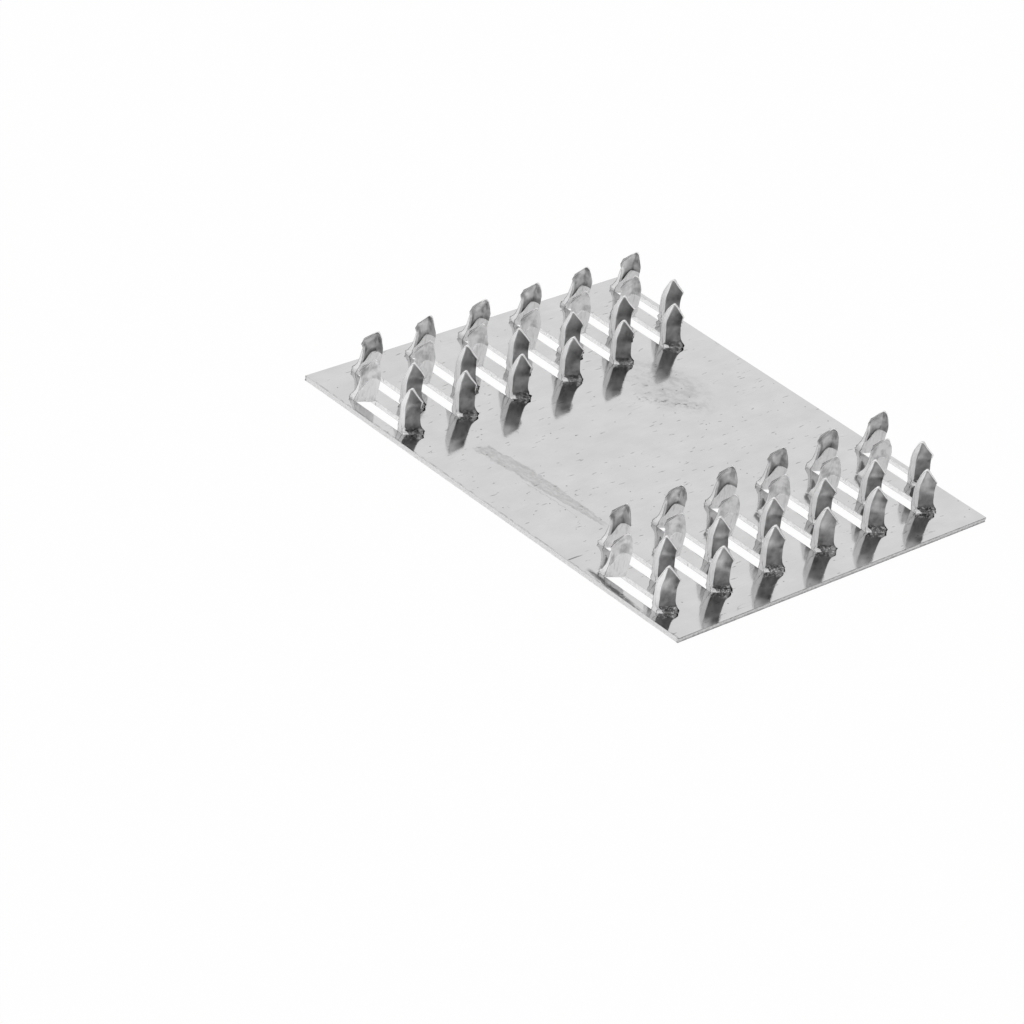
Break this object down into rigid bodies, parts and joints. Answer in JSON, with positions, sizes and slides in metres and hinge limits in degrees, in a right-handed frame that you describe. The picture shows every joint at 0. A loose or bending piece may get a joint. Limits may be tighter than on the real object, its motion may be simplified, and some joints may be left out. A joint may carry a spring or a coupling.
{
  "type": "nail plate",
  "caption": "Flat galvanised steel plate with banks of pierced slots in staggered rows and pressed pointed teeth standing up from them, for joining timber members.",
  "frame": {"origin": "middle of the smooth back face", "axes": "+X along the slots and the plate's longer side, +Y across the rows, +Z the way the teeth point"},
  "size_m": [0.1, 0.084, 0.0104],
  "materials": {
    "galvanised_sheet": "satin zinc coat"
  },
  "bodies": {
    "root": {"nail_plate": "galvanised_sheet"}
  },
  "joints": []
}
